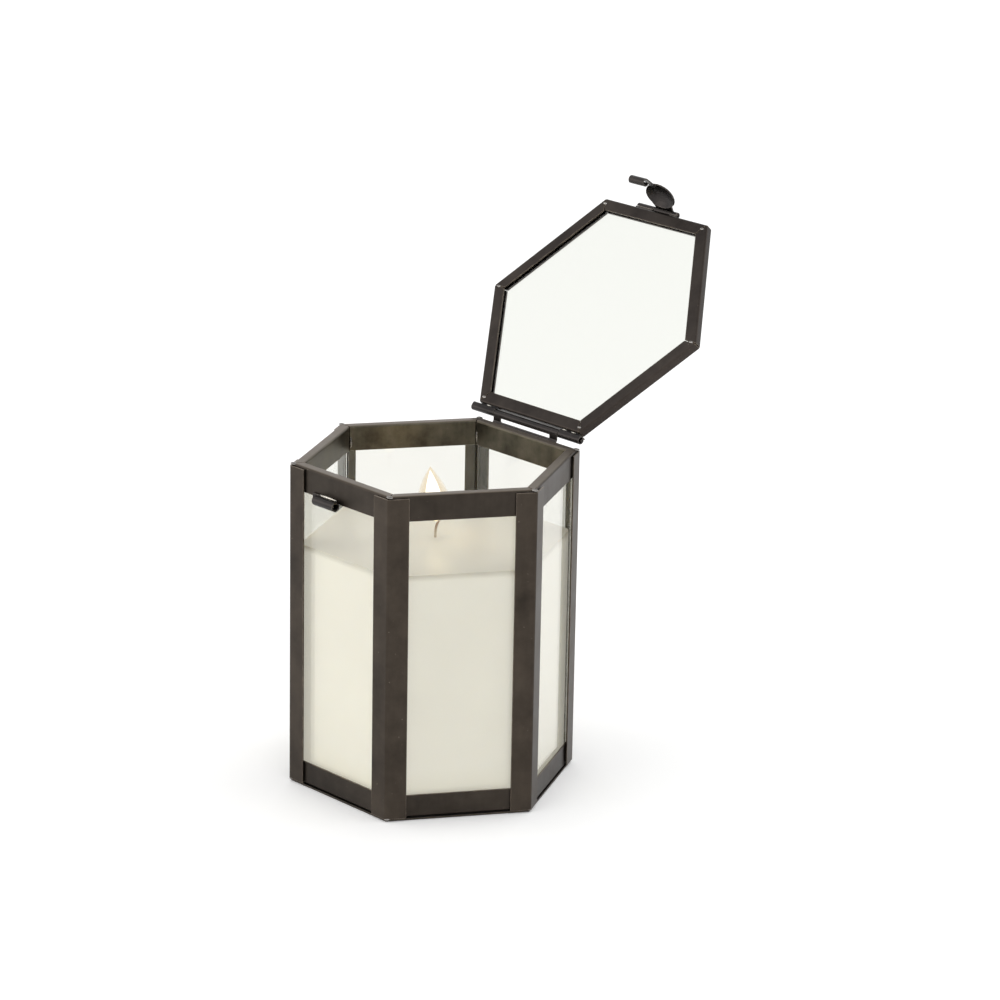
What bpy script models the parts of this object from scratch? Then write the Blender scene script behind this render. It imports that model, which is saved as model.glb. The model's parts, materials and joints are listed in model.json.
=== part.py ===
"""Candle lantern: a six-sided glass box in a folded sheet-metal frame.

A candle is poured straight into the glass.  A flat glazed lid turns on a barrel hinge along the
back edge, and a hasp on the lid's front edge swings down to snap its roll under a catch tube.

Frame: metres, +Z up, origin in the centre of the base's underside, X along the hinge, -Y front.
"""
import math
import bmesh
import bpy
from mathutils import Matrix, Vector

# ---- driving dimensions -------------------------------------------------------------------
SIDE = 0.055                    # one side of the hexagon
HEIGHT = 0.1266             # base to rim
SHEET = 0.0006                  # frame sheet
STRIP = 0.0005                  # strip that the knuckles are rolled from
GAP = 0.0003                    # clearance between touching pieces
GLASS = 0.002
GLASS_PLAY = 0.0005             # room beside the glass in its channel
RAIL_HEIGHT = 0.0098
POST_LEG = 0.0075
POST_STOP = 0.0008              # the posts end this far below the rim
BACK_POST_LEG = 0.0058          # the two rear corners have narrower strips
BEND_RADIUS = 0.0008
BASE_SHEET = 0.0007

WAX_TOP = 0.095
WICK_RADIUS = 0.0007
WICK_STAND = 0.0065
SUSTAINER_RADIUS = 0.008
COLLAR_HEIGHT = 0.005

LID_SHIFT = -0.0034             # the lid sits a little to the left on its pin
LID_DEPTH = 0.0038
LID_LEG = 0.0050
LID_OPEN = math.radians(133)
HINGE_Y = 0.0504
HINGE_Z = HEIGHT + 0.00225
HINGE_BORE = 0.001
HINGE_PIN_RADIUS = 0.0007
LEFT_KNUCKLE = (-0.0343, -0.0217)
BODY_KNUCKLE = (-0.0214, 0.0140)
RIGHT_KNUCKLE = (0.0143, 0.0258)
HINGE_WINDOW = (-0.0178, 0.0100)  # slot in the strap, where light shows under the barrel
HINGE_PIN_SPAN = (-0.0341, 0.0266)

HASP_STANDOFF = 0.0016             # hasp axis in front of the lid's edge
HASP_BORE = 0.00075
HASP_PIN_RADIUS = 0.00045
HASP_SWING = math.radians(10)
HASP_LEFT_KNUCKLE = (-0.0157, -0.0067)
HASP_BARREL = (-0.0064, 0.0028)
HASP_RIGHT_KNUCKLE = (0.0031, 0.0055)
DISH_RADIUS = 0.0051
DISH_DEPTH = 0.0022
DISH_STRETCH = 1.5             # the dish is wider than it is tall
DISH_X = -0.0028
DISH_DROP = 0.0064
DISH_FLARE = math.radians(18)      # the thumb piece leans out from the lantern
NECK_LENGTH = 0.0010
ROLL_SPAN = (-0.0100, -0.0020)
TONGUE_SPAN = (-0.0052, -0.0022)
ROLL_RADIUS = 0.0016
CATCH_SPAN = (-0.0115, 0.0)
CATCH_TAB = (-0.0148, -0.0100)
CATCH_RADIUS = 0.00185
CATCH_DROP = 0.0102

# ---- worked out from them -----------------------------------------------------------------
COS30 = math.cos(math.radians(30))
TAN30 = math.tan(math.radians(30))
APOTHEM = SIDE * COS30
RAIL_FACE = APOTHEM - 0.0004
GLASS_FACE = RAIL_FACE - SHEET - GLASS_PLAY
INNER_FACE = GLASS_FACE - GLASS - GLASS_PLAY
RAIL_BACK = INNER_FACE - SHEET
POST_CENTRE = RAIL_FACE + GAP + SHEET / 2
BOTTOM_RAIL_BASE = BASE_SHEET + GAP
LID_FACE = APOTHEM + 0.0008
LID_BASE = HEIGHT + GAP
LID_TOP = LID_BASE + LID_DEPTH
HASP_Y = -LID_FACE - HASP_STANDOFF
HASP_Z = LID_BASE + LID_DEPTH / 2 + 0.0007
HINGE_CENTRE_RADIUS = HINGE_BORE + STRIP / 2
HASP_CENTRE_RADIUS = HASP_BORE + STRIP / 2
CATCH_Y = -RAIL_FACE - GAP - CATCH_RADIUS
CATCH_Z = HEIGHT - CATCH_DROP
ROLL_Y = CATCH_Y - 0.0004
ROLL_Z = CATCH_Z - CATCH_RADIUS - ROLL_RADIUS - GAP

WALLS = {"front": 270, "front_right": 330, "back_right": 30,
         "back": 90, "back_left": 150, "front_left": 210}
CORNERS = {"front_left": 240, "front_right": 300, "right": 0,
           "back_right": 60, "back_left": 120, "left": 180}

# turns a path drawn in XY and drawn out along Z into one drawn in YZ and drawn out along X
ALONG_X = Matrix(((0, 0, 1, 0), (1, 0, 0, 0), (0, 1, 0, 0), (0, 0, 0, 1)))


# ---- scene and helpers --------------------------------------------------------------------
def clear_scene():
    for thing in list(bpy.data.objects):
        bpy.data.objects.remove(thing, do_unlink=True)


def collection(name):
    made = bpy.data.collections.new(name)
    bpy.context.scene.collection.children.link(made)
    return made


def material(name, colour, roughness, metallic, transmission=0.0):
    made = bpy.data.materials.new(name)
    made.use_nodes = True
    shader = made.node_tree.nodes["Principled BSDF"]
    shader.inputs["Base Color"].default_value = (*colour, 1)
    shader.inputs["Roughness"].default_value = roughness
    shader.inputs["Metallic"].default_value = metallic
    shader.inputs["Transmission Weight"].default_value = transmission
    made.diffuse_color = (*colour, 1)
    return made


def add(name, mesh, look, parent=None, home=None):
    made = bpy.data.objects.new(name, mesh)
    made.data.materials.append(look)
    (home or PARTS).objects.link(made)
    made.parent = parent
    return made


def arc(centre, radius, start, end, steps):
    """Points on an arc, angles in degrees."""
    turn = [math.radians(start + (end - start) * i / steps) for i in range(steps + 1)]
    return [(centre[0] + radius * math.cos(t), centre[1] + radius * math.sin(t)) for t in turn]


def prism_mesh(name, outline, low, high):
    """A flat outline in XY drawn out from low to high along Z."""
    shape = bmesh.new()
    rim = [shape.verts.new((x, y, low)) for x, y in outline]
    face = shape.faces.new(rim)
    top = bmesh.ops.extrude_face_region(shape, geom=[face])["geom"]
    raised = [part for part in top if isinstance(part, bmesh.types.BMVert)]
    bmesh.ops.translate(shape, vec=(0, 0, high - low), verts=raised)
    bmesh.ops.recalc_face_normals(shape, faces=shape.faces)
    mesh = bpy.data.meshes.new(name)
    shape.to_mesh(mesh)
    shape.free()
    return mesh


def strip_mesh(name, path, low, high):
    """An open sheet: a path in XY drawn out from low to high along Z."""
    shape = bmesh.new()
    line = [shape.verts.new((x, y, low)) for x, y in path]
    edges = [shape.edges.new(pair) for pair in zip(line, line[1:])]
    drawn = bmesh.ops.extrude_edge_only(shape, edges=edges)["geom"]
    raised = [part for part in drawn if isinstance(part, bmesh.types.BMVert)]
    bmesh.ops.translate(shape, vec=(0, 0, high - low), verts=raised)
    mesh = bpy.data.meshes.new(name)
    shape.to_mesh(mesh)
    shape.free()
    return mesh


def thicken(thing, thickness):
    """Give an open sheet its thickness, half to each side."""
    sheet = thing.modifiers.new("sheet", "SOLIDIFY")
    sheet.thickness = thickness
    sheet.offset = 0
    sheet.use_even_offset = True
    return thing


def smooth(thing, angle=40):
    thing.data.shade_smooth()
    thing.data.set_sharp_from_angle(angle=math.radians(angle))
    return thing


def soften(thing, width, segments=2):
    edge = thing.modifiers.new("edge", "BEVEL")
    edge.width = width
    edge.segments = segments
    edge.limit_method = "ANGLE"
    return thing


def hexagon(apothem):
    """Corners of a hexagon from the distance of its sides to the axis."""
    return arc((0, 0), apothem / COS30, 0, 300, 5)


def facing_turn(facing):
    """Local X runs along the wall and local Y points out of it."""
    return Matrix.Rotation(math.radians(facing - 90), 4, "Z")


def mitred_mesh(name, profile, facing):
    """A profile of (outward, up) points run along one wall and mitred at both corners."""
    mitre = GAP / 2 / COS30
    shape = bmesh.new()
    ring = [shape.verts.new((-(out * TAN30 - mitre), out, up)) for out, up in profile]
    face = shape.faces.new(ring)
    drawn = bmesh.ops.extrude_face_region(shape, geom=[face])["geom"]
    for part in drawn:
        if isinstance(part, bmesh.types.BMVert):
            part.co.x = -part.co.x
    bmesh.ops.recalc_face_normals(shape, faces=shape.faces)
    mesh = bpy.data.meshes.new(name)
    shape.to_mesh(mesh)
    shape.free()
    mesh.transform(facing_turn(facing))
    return mesh


def folded_angle(name, corner, centre, leg, low, high, look):
    """A 120 degree angle strip standing in one corner of the hexagon."""
    tip = centre / COS30
    reach = Vector((-0.5, COS30)) * leg
    bend = arc((tip - BEND_RADIUS / COS30, 0), BEND_RADIUS, 30, -30, 4)
    path = [(tip + reach.x, reach.y), *bend, (tip + reach.x, -reach.y)]
    mesh = strip_mesh(name, path, low, high)
    mesh.transform(Matrix.Rotation(math.radians(corner), 4, "Z"))
    return smooth(thicken(add(name, mesh, look), SHEET))


def rolled_strip(name, path, span, look, parent=None, home=None):
    """A strip bent along a path of (y, z) points, as wide as its span in x."""
    mesh = strip_mesh(name, path, *span)
    mesh.transform(ALONG_X)
    return smooth(thicken(add(name, mesh, look, parent, home), STRIP))


def pin(name, radius, span, y, z, look, parent=None):
    shape = bmesh.new()
    bmesh.ops.create_cone(shape, cap_ends=True, segments=16, radius1=radius, radius2=radius,
                          depth=span[1] - span[0])
    mesh = bpy.data.meshes.new(name)
    shape.to_mesh(mesh)
    shape.free()
    mesh.transform(Matrix.Translation(((span[0] + span[1]) / 2, y, z)) @ ALONG_X)
    return smooth(add(name, mesh, look, parent))


def box(name, low, high, look, parent=None, home=None):
    shape = bmesh.new()
    size = Vector(high) - Vector(low)
    middle = (Vector(high) + Vector(low)) / 2
    bmesh.ops.create_cube(shape, size=1, matrix=Matrix.Translation(middle) @ Matrix.Diagonal((*size, 1)))
    mesh = bpy.data.meshes.new(name)
    shape.to_mesh(mesh)
    shape.free()
    return add(name, mesh, look, parent, home)


def join_with(thing, tool, operation="UNION"):
    """Join or cut with another object, which stays in the cutters' collection."""
    tool.hide_render = True
    tool.display_type = "WIRE"
    work = thing.modifiers.new(operation.lower(), "BOOLEAN")
    work.operation = operation
    work.object = tool
    return thing


def turned(name, profile, look, home=None, steps=32):
    """A closed profile of (radius, up) points turned about Z."""
    shape = bmesh.new()
    ring = [shape.verts.new((radius, 0, up)) for radius, up in profile]
    for pair in zip(ring, ring[1:] + ring[:1]):
        shape.edges.new(pair)
    mesh = bpy.data.meshes.new(name)
    shape.to_mesh(mesh)
    shape.free()
    thing = add(name, mesh, look, home=home)
    turn = thing.modifiers.new("turn", "SCREW")
    turn.steps = steps
    turn.render_steps = steps
    turn.use_merge_vertices = True
    turn.merge_threshold = 0.00001
    return thing


# ---- body ---------------------------------------------------------------------------------
def channel(base, top, open_up):
    """U-channel outline in (outward, up): two legs and the web that joins them."""
    web = base if open_up else top
    step = SHEET if open_up else -SHEET
    mouth = top if open_up else base
    fold = step / 2
    return [(RAIL_FACE, mouth), (RAIL_FACE, web + fold), (RAIL_FACE - SHEET / 2, web),
            (RAIL_BACK + SHEET / 2, web), (RAIL_BACK, web + fold), (RAIL_BACK, mouth),
            (INNER_FACE, mouth), (INNER_FACE, web + step),
            (RAIL_FACE - SHEET, web + step), (RAIL_FACE - SHEET, mouth)]


def base_plate():
    soften(add("base_plate", prism_mesh("base_plate", hexagon(APOTHEM), 0, BASE_SHEET), METAL), 0.0001, 1)


def rails():
    for wall, facing in WALLS.items():
        low = channel(BOTTOM_RAIL_BASE, RAIL_HEIGHT, True)
        add(f"bottom_rail_{wall}", mitred_mesh("bottom_rail", low, facing), METAL)
        high = channel(HEIGHT - RAIL_HEIGHT, HEIGHT, False)
        add(f"top_rail_{wall}", mitred_mesh("top_rail", high, facing), METAL)


def panes():
    """Square-cut panes whose edges meet inside the corners, held in the rails' channels."""
    low = BOTTOM_RAIL_BASE + SHEET + GAP
    high = HEIGHT - SHEET - GAP
    back = GLASS_FACE - GLASS
    half = back * TAN30 - GAP
    outline = [(-half, back), (half, back), (half, GLASS_FACE), (-half, GLASS_FACE)]
    for wall, facing in WALLS.items():
        mesh = prism_mesh("glass_pane", outline, low, high)
        mesh.transform(facing_turn(facing))
        soften(add(f"glass_pane_{wall}", mesh, GLASS_LOOK), 0.00015, 1)


def corners():
    for corner, angle in CORNERS.items():
        leg = BACK_POST_LEG if corner in ("back_left", "left") else POST_LEG
        folded_angle(f"corner_post_{corner}", angle, POST_CENTRE, leg,
                     BOTTOM_RAIL_BASE, HEIGHT - POST_STOP, METAL)


def catch():
    """A tube standing off the front rail, held by a tab at its left end."""
    centre_radius = CATCH_RADIUS - STRIP / 2
    path = arc((CATCH_Y, CATCH_Z), centre_radius, 60, 390, 20)
    tube = rolled_strip("catch_tube", path, CATCH_SPAN, METAL)
    tab_height = CATCH_RADIUS
    face = -RAIL_FACE - GAP
    tab = box("catch_tab", (CATCH_TAB[0], face - STRIP, CATCH_Z - tab_height),
              (CATCH_TAB[1], face, CATCH_Z + tab_height), METAL, home=CUTTERS)
    join_with(tube, tab)


# ---- candle -------------------------------------------------------------------------------
def wax():
    """Wax that fills the glass, stepped in between the lower rails and bored for its wick."""
    lower = RAIL_BACK - GAP
    full = GLASS_FACE - GLASS - GAP
    body = add("candle_wax", prism_mesh("candle_wax", hexagon(full), RAIL_HEIGHT + GAP, WAX_TOP), WAX)
    foot = prism_mesh("wax_foot", hexagon(lower), BOTTOM_RAIL_BASE, RAIL_HEIGHT + 3 * GAP)
    join_with(body, add("wax_foot", foot, WAX, home=CUTTERS))
    bore = WICK_RADIUS + GAP
    collar = bore + STRIP + GAP
    shelf = BOTTOM_RAIL_BASE + STRIP + GAP
    pocket = SUSTAINER_RADIUS + GAP
    profile = [(0, WAX_TOP + 0.001), (bore, WAX_TOP + 0.001), (bore, shelf + COLLAR_HEIGHT),
               (collar, shelf + COLLAR_HEIGHT), (collar, shelf), (pocket, shelf), (pocket, 0), (0, 0)]
    join_with(body, turned("wick_bore", profile, WAX, CUTTERS, 24), "DIFFERENCE")


def sustainer():
    """Tin disc on the base with a crimped collar that grips the wick."""
    bore = WICK_RADIUS + GAP
    low = BOTTOM_RAIL_BASE
    shelf = low + STRIP
    profile = [(bore, low + COLLAR_HEIGHT), (bore + STRIP, low + COLLAR_HEIGHT), (bore + STRIP, shelf),
               (SUSTAINER_RADIUS, shelf), (SUSTAINER_RADIUS, low), (bore, low)]
    smooth(turned("wick_sustainer", profile, TIN, steps=24))


def wick():
    curve = bpy.data.curves.new("candle_wick", "CURVE")
    curve.dimensions = "3D"
    curve.bevel_depth = WICK_RADIUS
    curve.bevel_resolution = 2
    curve.use_fill_caps = True
    line = curve.splines.new("POLY")
    stand = [WICK_STAND * i / 5 for i in range(6)]
    points = [(0, 0, BOTTOM_RAIL_BASE + 2 * GAP), (0, 0, WAX_TOP - 0.001)]
    points += [(0.0009 * (rise / WICK_STAND) ** 2, 0, WAX_TOP + rise) for rise in stand[1:]]
    line.points.add(len(points) - 1)
    for point, place in zip(line.points, points):
        point.co = (*place, 1)
    thing = bpy.data.objects.new("candle_wick", curve)
    curve.materials.append(WICK)
    PARTS.objects.link(thing)


# ---- hinge --------------------------------------------------------------------------------
def hinge():
    """Body knuckle on a strap up the back rail, and the pin through all three knuckles."""
    back = RAIL_FACE + GAP + STRIP / 2
    front = HINGE_Y - HINGE_CENTRE_RADIUS
    roll = arc((HINGE_Y, HINGE_Z), HINGE_CENTRE_RADIUS, 180, -100, 16)
    path = [(back, HEIGHT - 0.008), (back, HEIGHT - 0.0022), (front, HEIGHT - 0.0004), *roll]
    knuckle = rolled_strip("hinge_body_knuckle", path, BODY_KNUCKLE, METAL)
    window = box("hinge_window", (HINGE_WINDOW[0], front - 0.0006, HEIGHT - 0.0002),
                 (HINGE_WINDOW[1], front + 0.0006, HEIGHT + 0.0014), METAL, home=CUTTERS)
    join_with(knuckle, window, "DIFFERENCE")
    pin("hinge_pin", HINGE_PIN_RADIUS, HINGE_PIN_SPAN, HINGE_Y, HINGE_Z, METAL)


# ---- lid ----------------------------------------------------------------------------------
def axis_empty(name, place, turn, parent=None):
    made = bpy.data.objects.new(name, None)
    made.empty_display_size = 0.01
    made.location = place
    made.rotation_euler = (turn, 0, 0)
    made.parent = parent
    PARTS.objects.link(made)
    return made


def lid():
    """Lid pieces are drawn with the lid shut and hang from the hinge axis, which is turned open."""
    shut = Matrix.Translation((LID_SHIFT, -HINGE_Y, -HINGE_Z))
    lip = LID_FACE - LID_LEG
    fold = SHEET / 2
    inside = LID_FACE - SHEET
    profile = [(LID_FACE, LID_BASE + fold), (LID_FACE, LID_TOP - fold), (LID_FACE - fold, LID_TOP),
               (lip, LID_TOP), (lip, LID_TOP - SHEET), (inside, LID_TOP - SHEET),
               (inside, LID_BASE + SHEET), (lip, LID_BASE + SHEET), (lip, LID_BASE),
               (LID_FACE - fold, LID_BASE)]
    for wall, facing in WALLS.items():
        mesh = mitred_mesh("lid_rail", profile, facing)
        mesh.transform(shut)
        add(f"lid_rail_{wall}", mesh, METAL, LID_AXIS)
    middle = LID_BASE + LID_DEPTH / 2
    pane = prism_mesh("lid_glass", hexagon(inside - GLASS_PLAY), middle - GLASS / 2, middle + GLASS / 2)
    pane.transform(shut)
    soften(add("lid_glass", pane, GLASS_LOOK, LID_AXIS), 0.00015, 1)


def lid_knuckles():
    """Strips on the lid's back edge, rolled round the pin from below."""
    edge = LID_FACE + GAP + STRIP / 2 - HINGE_Y
    roll = arc((0, 0), HINGE_CENTRE_RADIUS, 245, 490, 15)
    low = LID_BASE - HINGE_Z
    path = [(edge, LID_TOP - HINGE_Z - GAP), (edge, low + 0.0012), (edge + 0.0003, low + 0.0006), *roll]
    rolled_strip("hinge_lid_knuckle_left", path, LEFT_KNUCKLE, METAL, LID_AXIS)
    rolled_strip("hinge_lid_knuckle_right", path, RIGHT_KNUCKLE, METAL, LID_AXIS)


def hasp_knuckles():
    """Strips on the lid's front edge, rolled round the hasp's pin from above."""
    y = HASP_Y - HINGE_Y
    z = HASP_Z - HINGE_Z
    edge = -LID_FACE - GAP - STRIP / 2 - HINGE_Y
    roll = arc((y, z), HASP_CENTRE_RADIUS, 70, 300, 14)
    path = [(edge, z - 0.0014), (edge, z + 0.0004), (edge - 0.0006, z + 0.0009), *roll]
    rolled_strip("hasp_knuckle_left", path, HASP_LEFT_KNUCKLE, METAL, LID_AXIS)
    rolled_strip("hasp_knuckle_right", path, HASP_RIGHT_KNUCKLE, METAL, LID_AXIS)
    span = (HASP_LEFT_KNUCKLE[0] + GAP, HASP_RIGHT_KNUCKLE[1] - GAP)
    pin("hasp_pin", HASP_PIN_RADIUS, span, y, z, METAL, LID_AXIS)


# ---- hasp ---------------------------------------------------------------------------------
def dish_surface(shape):
    """Shallow bowl in the hasp's sheet, bulging away from the lantern."""
    ball = (DISH_RADIUS ** 2 + DISH_DEPTH ** 2) / (2 * DISH_DEPTH)
    rings = 6
    line = []
    for i in range(rings + 1):
        radius = DISH_RADIUS * i / rings
        bulge = math.sqrt(ball ** 2 - radius ** 2) - (ball - DISH_DEPTH)
        line.append(shape.verts.new((DISH_X + radius, -HASP_CENTRE_RADIUS - bulge, -DISH_DROP)))
    edges = [shape.edges.new(pair) for pair in zip(line, line[1:])]
    bmesh.ops.spin(shape, geom=line + edges, cent=(DISH_X, 0, -DISH_DROP), axis=(0, 1, 0),
                   angle=math.tau, steps=24)
    bmesh.ops.remove_doubles(shape, verts=shape.verts, dist=0.00001)
    for vert in shape.verts:
        vert.co.x = DISH_X + (vert.co.x - DISH_X) * DISH_STRETCH


def flared(y, z):
    """A point of the thumb piece once it leans out about the foot of its neck."""
    away = y + HASP_CENTRE_RADIUS
    down = z + NECK_LENGTH
    return (-HASP_CENTRE_RADIUS + away * math.cos(DISH_FLARE) + down * math.sin(DISH_FLARE),
            -NECK_LENGTH - away * math.sin(DISH_FLARE) + down * math.cos(DISH_FLARE))


def pull_edges(shape, edges, station, span):
    """Extend the sheet from some edges to a straight line across it at (y, z)."""
    drawn = bmesh.ops.extrude_edge_only(shape, edges=edges)["geom"]
    fresh = [part for part in drawn if isinstance(part, bmesh.types.BMVert)]
    low = min(vert.co.x for vert in fresh)
    high = max(vert.co.x for vert in fresh)
    for vert in fresh:
        share = (vert.co.x - low) / (high - low)
        vert.co = (span[0] + share * (span[1] - span[0]), *station)
    kept = set(fresh)
    return [part for part in drawn if isinstance(part, bmesh.types.BMEdge) and set(part.verts) <= kept]


def hasp_plate():
    """One sheet: a dished thumb piece, its neck, and the barrel rolled round the hasp's pin."""
    shape = bmesh.new()
    dish_surface(shape)
    neck_start = DISH_RADIUS * math.cos(math.radians(46))
    edges = [edge for edge in shape.edges if edge.is_boundary
             and all(vert.co.z + DISH_DROP > neck_start for vert in edge.verts)]
    for vert in shape.verts:
        vert.co.y, vert.co.z = flared(vert.co.y, vert.co.z)
    roll = arc((0, 0), HASP_CENTRE_RADIUS, 180, -98, 14)
    for station in [(-HASP_CENTRE_RADIUS, -NECK_LENGTH), *roll]:
        edges = pull_edges(shape, edges, station, HASP_BARREL)
    bmesh.ops.recalc_face_normals(shape, faces=shape.faces)
    mesh = bpy.data.meshes.new("hasp_plate")
    shape.to_mesh(mesh)
    shape.free()
    smooth(thicken(add("hasp_plate", mesh, METAL, HASP_AXIS), STRIP), 50)


def hasp_roll():
    """Rolled end that snaps under the catch tube, with the tongue that laps the dish."""
    y = ROLL_Y - HASP_Y
    z = ROLL_Z - HASP_Z
    path = arc((y, z), ROLL_RADIUS - STRIP / 2, 199, 490, 20)
    roll = rolled_strip("hasp_roll", path, ROLL_SPAN, METAL, HASP_AXIS)
    lap = flared(-HASP_CENTRE_RADIUS + STRIP + 0.0002, -DISH_DROP - DISH_RADIUS + 0.0010)
    tongue = rolled_strip("hasp_tongue", [lap, path[0], path[1]], TONGUE_SPAN, METAL, HASP_AXIS, CUTTERS)
    join_with(roll, tongue)


clear_scene()
PARTS = collection("candle_lantern")
CUTTERS = collection("cutters")
METAL = material("dark_patina", (0.055, 0.045, 0.038), 0.45, 0.85)
GLASS_LOOK = material("clear_glass", (0.92, 0.95, 0.93), 0.02, 0.0, 1.0)
WAX = material("cream_wax", (0.86, 0.82, 0.70), 0.45, 0.0)
WICK = material("cotton_wick", (0.12, 0.09, 0.06), 0.9, 0.0)
TIN = material("tin", (0.72, 0.72, 0.70), 0.35, 1.0)
LID_AXIS = axis_empty("lid_axis", (0, HINGE_Y, HINGE_Z), -LID_OPEN)
HASP_AXIS = axis_empty("hasp_axis", (0, HASP_Y - HINGE_Y, HASP_Z - HINGE_Z), -HASP_SWING, LID_AXIS)

base_plate()
rails()
panes()
corners()
catch()
wax()
sustainer()
wick()
hinge()
lid()
lid_knuckles()
hasp_knuckles()
hasp_plate()
hasp_roll()
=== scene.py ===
# %% [markdown]
# # A six-sided candle lantern
# A small glass box in a frame of folded sheet metal, with a candle poured straight into it.
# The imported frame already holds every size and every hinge, so this lesson never measures
# anything itself: it asks the frame where a part is, and builds the finished surface there.

# %% Load the fixed frame
import json
import math
import random

import bmesh
import bpy
from mathutils import Matrix, Vector


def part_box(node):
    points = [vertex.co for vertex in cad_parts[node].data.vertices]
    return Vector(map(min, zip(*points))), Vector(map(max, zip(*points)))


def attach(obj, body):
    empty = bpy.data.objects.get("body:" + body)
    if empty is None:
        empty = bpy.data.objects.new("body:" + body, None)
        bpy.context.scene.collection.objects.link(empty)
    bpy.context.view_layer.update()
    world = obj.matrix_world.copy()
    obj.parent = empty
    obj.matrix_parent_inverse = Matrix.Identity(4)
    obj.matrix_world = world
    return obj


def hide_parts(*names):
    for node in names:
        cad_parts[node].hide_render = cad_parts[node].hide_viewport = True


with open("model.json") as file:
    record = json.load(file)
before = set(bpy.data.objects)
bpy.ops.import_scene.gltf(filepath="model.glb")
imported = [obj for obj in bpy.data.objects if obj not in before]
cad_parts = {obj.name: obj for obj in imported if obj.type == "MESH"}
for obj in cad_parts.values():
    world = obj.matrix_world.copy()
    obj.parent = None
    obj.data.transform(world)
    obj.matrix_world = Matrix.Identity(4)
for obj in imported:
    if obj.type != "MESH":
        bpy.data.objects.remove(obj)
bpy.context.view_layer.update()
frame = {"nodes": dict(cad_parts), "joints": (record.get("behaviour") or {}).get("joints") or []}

print("nodes in the frame:", len(frame["nodes"]))

# %% [markdown]
# ## Sizes
# Each value is read off one CAD part. A rail's box tells how far out the frame's face is, how
# deep its channel is and how tall it stands, and those few lengths place everything else.

# %% Sizes read from the frame
MM = 0.001
COS30 = math.cos(math.radians(30))
TAN30 = math.tan(math.radians(30))
RAIL_LOW, RAIL_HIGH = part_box("top_rail_front")
FOOT_LOW, FOOT_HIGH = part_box("bottom_rail_front")
POST_LOW, POST_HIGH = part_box("corner_post_right")
BACK_POST_LOW, BACK_POST_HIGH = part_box("corner_post_left")
PANE_LOW, PANE_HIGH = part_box("glass_pane_front")
WAX_LOW, WAX_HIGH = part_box("candle_wax")
BASE_LOW, BASE_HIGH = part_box("base_plate")
SHEET = 0.6 * MM
STRIP = 0.5 * MM
SOLDER_ROOM = 0.3 * MM
EDGE_BREAK = 0.12 * MM
RIM = RAIL_HIGH.z
RAIL_FACE = -RAIL_LOW.y
RAIL_BACK = -RAIL_HIGH.y
JOINTS = {joint["name"]: joint for joint in frame["joints"]}
HINGE = Vector(JOINTS["lid_hinge"]["pos_m"])
LID_OPEN = math.radians(-JOINTS["lid_hinge"]["range_deg"][0])
WALLS = {"front": 270, "front_right": 330, "back_right": 30,
         "back": 90, "back_left": 150, "front_left": 210}
CORNERS = {"front_left": 240, "front_right": 300, "right": 0,
           "back_right": 60, "back_left": 120, "left": 180}
print(f"rim {RIM / MM:.1f} mm, face {RAIL_FACE / MM:.2f} mm from the axis")

# %% [markdown]
# ## Opening and shutting the lid
# The lid is easiest to build shut, where it lies flat and square to the axes. It could be built
# tilted, but every number would then hide a sine. So each lid piece is made shut, and turned open
# about the hinge at the end.

# %% Turns about the hinge
def turn_about(place, angle):
    """A turn about a line along X through a place."""
    return Matrix.Translation(place) @ Matrix.Rotation(angle, 4, "X") @ Matrix.Translation(-place)


OPEN_LID = turn_about(HINGE, -LID_OPEN)
SHUT_LID = turn_about(HINGE, LID_OPEN)


def shut_box(node):
    """The box of a lid node with the lid shut, from its corners turned back."""
    places = [SHUT_LID @ vert.co for vert in frame["nodes"][node].data.vertices]
    low = Vector(min(place[i] for place in places) for i in range(3))
    high = Vector(max(place[i] for place in places) for i in range(3))
    return low, high


LID_LOW, LID_HIGH = shut_box("lid_rail_front")
LID_FACE = -LID_LOW.y
LID_LEG = LID_HIGH.y - LID_LOW.y
LID_SHIFT = (LID_LOW.x + LID_HIGH.x) / 2
print(f"lid face {LID_FACE / MM:.2f} mm, shut from {LID_LOW.z / MM:.1f} to {LID_HIGH.z / MM:.1f} mm")

# %% [markdown]
# ## The camera
# A long lens from a little above and to the right of the latch side shows the front corner, the
# candle and the open lid at once. A short lens would spread the six sides apart, so the camera
# stands back 1.5 m and uses 145 mm, and is rolled by one degree.

# %% Camera
CAMERA_TURN = math.radians(46.95)
CAMERA_RISE = math.radians(17.72)
CAMERA_ROLL = math.radians(1.07)
CAMERA_STAND = 1.5487
CAMERA_ASIDE = 0.0262
CAMERA_UP = 0.1040
LENS_LENGTH = 145


def aim_camera():
    back = Vector((math.sin(CAMERA_TURN) * math.cos(CAMERA_RISE),
                   -math.cos(CAMERA_TURN) * math.cos(CAMERA_RISE), math.sin(CAMERA_RISE)))
    level = Vector((math.cos(CAMERA_TURN), math.sin(CAMERA_TURN), 0))
    upright = back.cross(level)
    right = math.cos(CAMERA_ROLL) * level + math.sin(CAMERA_ROLL) * upright
    up = back.cross(right)
    place = back * CAMERA_STAND + right * CAMERA_ASIDE + up * CAMERA_UP
    data = bpy.data.cameras.new("camera")
    data.lens = LENS_LENGTH
    data.sensor_width = 36
    camera = bpy.data.objects.new("camera", data)
    bpy.context.scene.collection.objects.link(camera)
    camera.matrix_world = Matrix.Translation(place) @ Matrix((right, up, back)).transposed().to_4x4()
    bpy.context.scene.camera = camera
    return camera


camera = aim_camera()
print("camera at", [round(c, 3) for c in camera.location])

# %% [markdown]
# ## Floor and light
# A pale floor that glows a little, under a bright even sky, gives the soft light of a white table.
# Dark metal shows mostly what it mirrors, so one large soft panel stands at the front left to
# lift that side, and a smaller one stands behind to catch the rims.

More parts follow.
